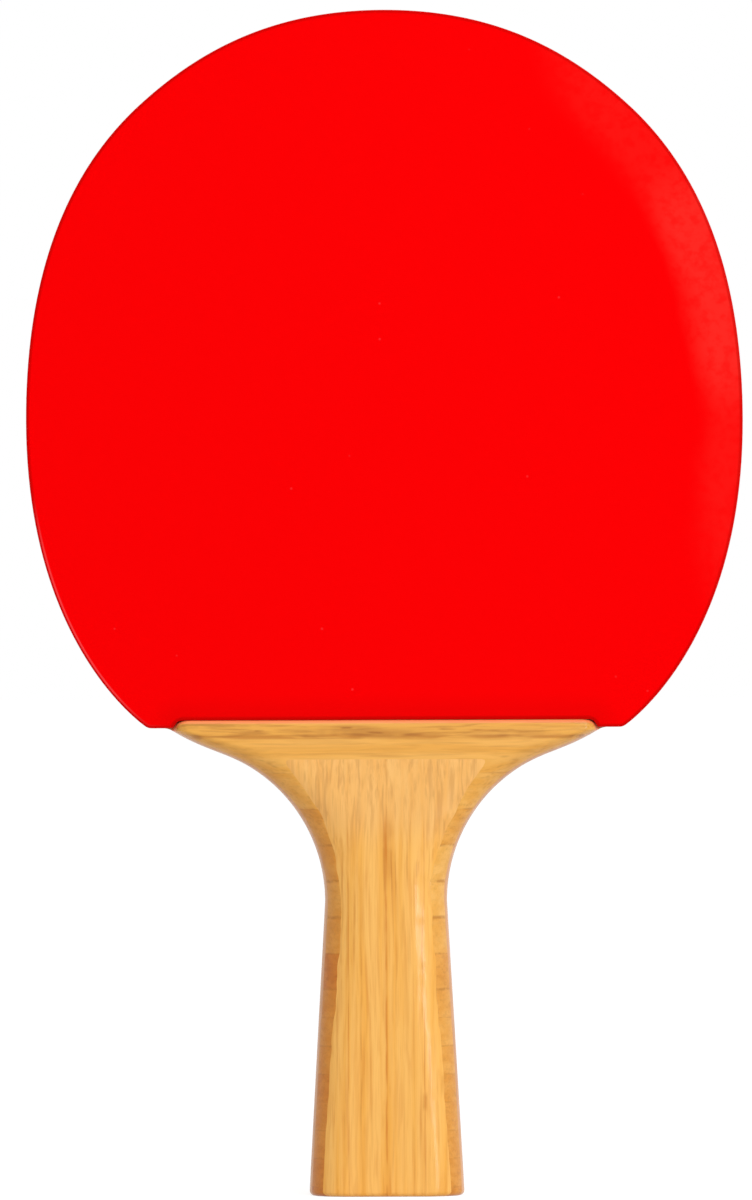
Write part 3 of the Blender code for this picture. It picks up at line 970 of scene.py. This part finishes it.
FACE_BAMBOO = bamboo_material(
    "face_bamboo", ALONG_HANDLE, pale=(0.955, 0.52, 0.122), honey=(0.90, 0.43, 0.063),
    fibres=((0.64, 0.21, 0.014), (0.58, 0.24, 0.02)), bundles=(0.42, 0.45),
    glue=(0.64, 0.20, 0.01), joint_width=0.38, joint_strengths=(0.75, 0.15),
    cut_share=0.35, ramp_figure=3.0, lines=FRONT_FIBRES, line_colour=FIBRE_BROWN,
)
CROSS_BAMBOO = bamboo_material(
    "cross_bamboo", ACROSS_HANDLE, pale=(0.88, 0.462, 0.100), honey=(0.82, 0.392, 0.060),
    fibres=((0.42, 0.16, 0.016),) * 2, bundles=(0.14, 0.28),
    glue=(0.44, 0.14, 0.006), joint_width=0.66, joint_strengths=(0.58, 0.62),
    fine=0.5, lines=RAMP_STREAKS, line_colour=STREAK_BROWN,
)
HIDDEN_WOOD = {"bundles": (0.6, 0.6), "joint_width": 0.18, "joint_strengths": (0.7, 0.7)}
INNER_BAMBOO = bamboo_material(
    "inner_bamboo", ALONG_HANDLE, pale=(0.80, 0.40, 0.17), honey=(0.70, 0.32, 0.12),
    fibres=((0.42, 0.17, 0.05),) * 2, glue=(0.28, 0.11, 0.03), **HIDDEN_WOOD,
)
CORE_BAMBOO = bamboo_material(
    "core_bamboo", ACROSS_HANDLE, pale=(0.70, 0.36, 0.15), honey=(0.60, 0.28, 0.10),
    fibres=((0.38, 0.16, 0.05),) * 2, glue=(0.26, 0.10, 0.03), **HIDDEN_WOOD,
)
RED_RUBBER = rubber_material(
    "red_rubber", rubber=(0.935, 0.0, 0.0008), shade=(0.50, 0.0015, 0.0005),
    bloom_and_sheen=(0.955, 0.026, 0.019), dust_and_glint=(0.98, 0.052, 0.056), tint=(1.0, 0.01, 0.01),
    roughness=0.50, sheen_on_edge=1.0,
)
BLACK_RUBBER = rubber_material(
    "black_rubber", rubber=(0.008, 0.008, 0.009), shade=(0.004, 0.004, 0.004),
    bloom_and_sheen=(0.040, 0.040, 0.042), dust_and_glint=(0.035, 0.035, 0.037), tint=(0.55, 0.55, 0.56),
    roughness=0.42, sheen_on_edge=0.35,
)
FRONT_SPONGE = sponge_material("front_sponge", colour=(0.80, 0.20, 0.12), pore=(0.35, 0.05, 0.03))
BACK_SPONGE = sponge_material("back_sponge", colour=(0.80, 0.52, 0.18), pore=(0.40, 0.22, 0.06))


def mirrored_ring(half):
    """Both sides of an outline, from its right half."""
    left = [Vector((-p.x, p.y)) for p in reversed(half) if p.x > TOLERANCE]
    return half + left


def add_sheet(bm, ring, near, far):
    """Add a sheet of one outline between two depths on the red side."""
    face = bm.faces.new([bm.verts.new((p.x, -near, p.y)) for p in ring])
    grown = bmesh.ops.extrude_face_region(bm, geom=[face])
    moved = [v for v in grown["geom"] if isinstance(v, bmesh.types.BMVert)]
    bmesh.ops.translate(bm, verts=moved, vec=(0.0, near - far, 0.0))
    bmesh.ops.recalc_face_normals(bm, faces=bm.faces)


def flat_solid(ring, near, far, edge_bevel=0.0):
    """Sheet of one outline between two depths on the red side, its outer edge softened."""
    bm = bmesh.new()
    add_sheet(bm, ring, near, far)
    if edge_bevel:
        rim = [e for e in bm.edges if all(abs(v.co.y + far) < TOLERANCE for v in e.verts)]
        bmesh.ops.bevel(
            bm, geom=rim, affect="EDGES", offset=edge_bevel, segments=BEVEL_STEPS, profile=0.5,
            material=-1,
        )
        outer = max(bm.faces, key=lambda face: (len(face.verts), -face.calc_center_median().y))
        bmesh.ops.inset_region(bm, faces=[outer], thickness=RUBBER_INSET, depth=0.0)
    return bm


def handle_outline():
    """Right side of the outline below the shoulder, from the rounded end face up."""
    rows = END_HEIGHTS + [p.y for p in SIDE if p.y > END_ROUND]
    return [Vector((rounded_half_width(height), height)) for height in rows]


def step_outline():
    """Fillet from the neck into the shoulder's level step."""
    start = knot(SIDE[-1].x, SIDE[-1].y, WING_LEAN, 0.0, STEP_PULL)
    end = knot(SIDE[-1].x + STEP_FILLET, SHOULDER_HEIGHT, 90.0, STEP_PULL, 0.0)
    return curve((start, end), FILLET_STEPS)


def round_outline():
    """Blade corner and the round part of the blade, up to the middle of its top."""
    points = curve(
        (
            knot(CORNER_HALF_WIDTH, SHOULDER_HEIGHT, CORNER_LEAN, 0.0, CORNER_PULL),
            knot(BLADE_WIDTH / 2, WIDEST_HEIGHT, 0.0, WIDEST_PULL_DOWN, WIDEST_PULL_UP),
            knot(BROW_HALF_WIDTH, BROW_HEIGHT, BROW_LEAN, BROW_PULL, BROW_PULL),
            knot(0.0, OVERALL_LENGTH, -90.0, TOP_PULL, 0.0),
        ),
        STEPS,
    )
    corner = points[0]
    kept = [p for p in points if (p - corner).length > CORNER_RADIUS]
    inner = corner - Vector((CORNER_RADIUS, 0.0))
    outer = corner + (kept[0] - corner).normalized() * CORNER_RADIUS
    fillet = interpolate_bezier(inner, corner, corner, outer, FILLET_STEPS + 1)
    return [Vector(p) for p in fillet] + kept


def notch_outline():
    """Lower edge of a rubber, from its middle over the scale's top end to the shoulder's step."""
    above = [h for h in reversed(CORNER_HEIGHTS) if h > SHOULDER_HEIGHT + FOOT_EDGE]
    points = [Vector((scale_half_width(h) + EDGE_CLEARANCE, h + EDGE_CLEARANCE)) for h in above]
    foot = scale_half_width(SHOULDER_HEIGHT) + EDGE_CLEARANCE
    return points + [Vector((foot, SHOULDER_HEIGHT))]


def edge_distance(ring):
    """Function that gives how far inside an outline points lie."""
    corners = np.array([[p.x, p.y] for p in ring])
    following = np.roll(corners, -1, axis=0)
    along = following - corners
    lengths = (along**2).sum(axis=1)

    def distance(x, z):
        offset = np.array([x, z]) - corners
        share = np.clip((offset * along).sum(axis=1) / lengths, 0.0, 1.0)
        gap = np.linalg.norm(offset - along * share[:, None], axis=1).min()
        crossed = (corners[:, 1] > z) != (following[:, 1] > z)
        start, end = corners[crossed], following[crossed]
        risen = (z - start[:, 1]) / (end[:, 1] - start[:, 1])
        meets = start[:, 0] + risen * (end[:, 0] - start[:, 0])
        inside = (meets > x).sum() % 2 == 1
        return gap if inside else -gap

    return distance


def pimple_places(ring):
    """Places of the pimples that lie near the topsheet's edge, in their staggered rows."""
    distance = edge_distance(ring)
    row_pitch = PIMPLE_PITCH * math.sqrt(3) / 2
    places = []
    rows = int((OVERALL_LENGTH - SHOULDER_HEIGHT) / row_pitch) + 1
    columns = int(BLADE_WIDTH / 2 / PIMPLE_PITCH) + 1
    for row in range(rows):
        z = SHOULDER_HEIGHT + row * row_pitch
        for column in range(-columns, columns + 1):
            x = (column + row % 2 / 2) * PIMPLE_PITCH
            gap = distance(x, z)
            if PIMPLE_MARGIN < gap < PIMPLE_BAND:
                places.append((x, z))
    return places


def topsheet(ring, side, material, word):
    """Rubber film with its pimples turned in towards the sponge.

    One block stands for the field of pimples further in, so that no light shows through.
    """
    bm = flat_solid(ring, FILM_DEPTH, RUBBER_DEPTH, RUBBER_EDGE)
    height = FILM_DEPTH - SPONGE_TOP
    depth = (FILM_DEPTH + SPONGE_TOP) / 2
    for x, z in pimple_places(ring):
        place = Matrix.Translation((x, -depth, z)) @ Matrix.Rotation(math.pi / 2, 4, "X")
        bmesh.ops.create_cone(
            bm, cap_ends=True, segments=PIMPLE_SIDES, radius1=PIMPLE_RADIUS,
            radius2=PIMPLE_RADIUS * PIMPLE_TAPER, depth=height, matrix=place,
        )
    middle = Vector((0.0, FIELD_MIDDLE))
    add_sheet(bm, [middle + (p - middle) * FIELD_SHARE for p in ring], SPONGE_TOP, FILM_DEPTH)
    put_on_side(bm, side)
    piece = add_piece(f"{word}_rubber_topsheet", bm, material, f"{word}_topsheet")
    inside = edge_distance(ring)

    def from_edge(point):
        if abs(point.y) < FILM_DEPTH - RUBBER_EDGE:
            return RUBBER_INSET * MILLIMETRES
        return inside(point.x, point.z) * MILLIMETRES

    store(piece, "edge", from_edge)


def rubbers():
    """Sponge and topsheet on each side of the blade."""
    ring = mirrored_ring(notch_outline() + round_outline())
    for word, side, sheet, sponge in (
        ("front", -1, RED_RUBBER, FRONT_SPONGE), ("back", 1, BLACK_RUBBER, BACK_SPONGE)
    ):
        foam = flat_solid(ring, INNER_DEPTH, SPONGE_TOP)
        put_on_side(foam, side)
        add_piece(f"{word}_rubber_sponge", foam, sponge, f"{word}_sponge")
        topsheet(ring, side, sheet, word)


def blade():
    """Three plies, glued flat and cut to the racket's whole outline."""
    ring = mirrored_ring(handle_outline() + step_outline()[1:] + round_outline())
    for name, near, far, side, material, slot in (
        ("front_ply", CORE_DEPTH, INNER_DEPTH, -1, INNER_BAMBOO, "bamboo_blade"),
        ("core_ply", -CORE_DEPTH, CORE_DEPTH, -1, CORE_BAMBOO, "bamboo_core"),
        ("back_ply", CORE_DEPTH, INNER_DEPTH, 1, INNER_BAMBOO, "bamboo_blade"),
    ):
        bm = flat_solid(ring, near, far)
        put_on_side(bm, side)
        piece = add_piece(f"bamboo_{name}", bm, material, f"blade_{name}")
        seed = BLADE_SEED + far * BLADE_SEED_STEP * side
        mark_strip(piece, seed, (BLADE_TONE, BLADE_TONE))


def inner_board(block, word, side):
    """Inner ply of a scale."""
    inner = block.copy()
    keep_between(inner, 1, -CROSS_DEPTH, -INNER_DEPTH)
    put_on_side(inner, side)
    piece = add_piece(
        f"{word}_inner_board", inner, INNER_BAMBOO, f"{word}_inner_ply"
    )
    mark_strip(piece, INNER_SEED + side, (INNER_TONE, INNER_TONE))


def level_strips(block, word, side):
    """Strips of a scale's cross ply, from the top down."""
    cross = block.copy()
    keep_between(cross, 1, -FACE_DEPTH, -CROSS_DEPTH)
    joints = [(z, faint * FAINT_JOINT) for z, faint in zip(CROSS_JOINTS, JOINT_FAINTNESS)]
    edges = [None, *joints, None]
    for index, (top, bottom) in enumerate(zip(edges, edges[1:])):
        strip = cross.copy()
        keep_between(strip, 2, bottom and bottom[0], top and top[0])
        put_on_side(strip, side)
        number = f"{index + 1:02d}"
        piece = add_piece(
            f"{word}_level_strip_{number}", strip, CROSS_BAMBOO,
            f"{word}_cross_strip_{number}",
        )
        seed = CROSS_SEED_STEP * index + side
        # The right tones are lighter, partly the strips' own tone and partly painted light from the
        # right side
        tones = CROSS_TONES[index], CROSS_RIGHT_LIT_TONES[index]
        planes = [edge for edge in (top, bottom) if edge]
        mark_strip(piece, seed, tones, CROSS_FIGURES[index], (2, planes))
    cross.free()


def upright_strips(block, word, side):
    """Strips of a scale's face ply, from the middle outwards on each hand."""
    face = block.copy()
    keep_between(face, 1, None, -FACE_DEPTH)
    for hand, way in (("left", -1), ("right", 1)):
        for index in range(FACE_STRIPS):
            near = way * index * FACE_STRIP
            outermost = index == FACE_STRIPS - 1
            far = None if outermost else way * (index + 1) * FACE_STRIP
            low, high = (near, far) if way > 0 else (far, near)
            strip = face.copy()
            keep_between(strip, 0, low, high)
            put_on_side(strip, side)
            piece = add_piece(
                f"{word}_upright_strip_{hand}_{index + 1}", strip, FACE_BAMBOO,
                f"{word}_face_strip_{hand}_{index + 1}",
            )
            seed = FACE_SEED_STEP * index + way + side * BACK_SEED_STEP
            planes = [(x, TIGHT_JOINT if x else 0.0) for x in (low, high) if x is not None]
            mark_strip(piece, seed, (0.0, 0.0), FACE_FIGURE, (0, planes))
    face.free()


def handle_scale(word, side):
    """Sculpted scale of one side, cut into its inner ply, level strips and upright strips."""
    block = scale_block()
    inner_board(block, word, side)
    level_strips(block, word, side)
    upright_strips(block, word, side)
    block.free()


def seen_directly(tree):
    """1 for what the camera sees, itself or in a reflection, and 0 for what only gives light."""
    paths = add_node(tree, "LightPath").outputs
    seen = calculate(tree, "MAXIMUM", paths["Is Camera Ray"], paths["Is Glossy Ray"])
    return calculate(tree, "MAXIMUM", seen, paths["Is Transmission Ray"])


def floor():
    """Pale floor under the racket, white to the camera, that keeps the racket's shadow."""
    bm = bmesh.new()
    bmesh.ops.create_circle(bm, cap_ends=True, segments=FLOOR_SIDES, radius=FLOOR_RADIUS)
    mesh = bpy.data.meshes.new("floor")
    bm.to_mesh(mesh)
    bm.free()
    item = add_object("floor", mesh)
    material, tree, shader = new_material("floor")
    tree.nodes.remove(shader)
    matt = add_node(tree, "BsdfDiffuse", {"Color": FLOOR_GREY})
    glow = add_node(tree, "Emission", {"Color": WHITE, "Strength": FLOOR_GLOW})
    shown = add_node(tree, "AddShader", {0: matt.outputs[0], 1: glow.outputs[0]})
    plain = add_node(tree, "BsdfDiffuse", {"Color": FLOOR_BOUNCE})
    inputs = {0: seen_directly(tree), 1: plain.outputs[0], 2: shown.outputs[0]}
    both = add_node(tree, "MixShader", inputs)
    feed(tree, tree.nodes["Material Output"], {"Surface": both.outputs[0]})
    mesh.materials.append(material)


def world():
    """White to the camera and in reflections, and a soft even light otherwise."""
    made = bpy.data.worlds.new("studio")
    bpy.context.scene.world = made
    made.use_nodes = True
    tree = made.node_tree
    strength = ramp(tree, seen_directly(tree), 0.0, 1.0, WORLD_LIGHT, 1.0, smooth=False)
    feed(tree, tree.nodes["Background"], {"Color": WHITE, "Strength": strength})


def lamp(name, azimuth, elevation, distance, width, height, power):
    """Softbox aimed at the handle; azimuth 0 is in front of the red side, 90 to its right."""
    light = bpy.data.lights.new(name, "AREA")
    light.shape = "RECTANGLE"
    light.size = width
    light.size_y = height
    light.energy = power
    item = add_object(name, light)
    turn, lift = math.radians(azimuth), math.radians(elevation)
    level = math.cos(lift)
    way = Vector((math.sin(turn) * level, -math.cos(turn) * level, math.sin(lift)))
    item.location = Vector(LAMP_TARGET) + way * distance
    item.rotation_mode = "QUATERNION"
    item.rotation_quaternion = (-way).to_track_quat("-Z", "Y")


def camera():
    """Level long lens straight at the red side."""
    data = bpy.data.cameras.new("camera")
    data.sensor_width = SENSOR_WIDTH
    data.lens = data.sensor_width * (CAMERA_DISTANCE - RUBBER_DEPTH) / VIEW_HEIGHT
    data.clip_start = CLIP_START
    data.clip_end = CLIP_END
    item = add_object("camera", data)
    item.location = (CAMERA_SIDE, -CAMERA_DISTANCE, CAMERA_HEIGHT)
    item.rotation_euler = (math.pi / 2, math.radians(CAMERA_ROLL), 0.0)
    bpy.context.scene.camera = item


blade()
rubbers()
handle_scale("front", -1)
handle_scale("back", 1)
floor()
world()
for settings in LAMPS:
    lamp(*settings)
camera()
bpy.context.scene.view_settings.view_transform = "Standard"
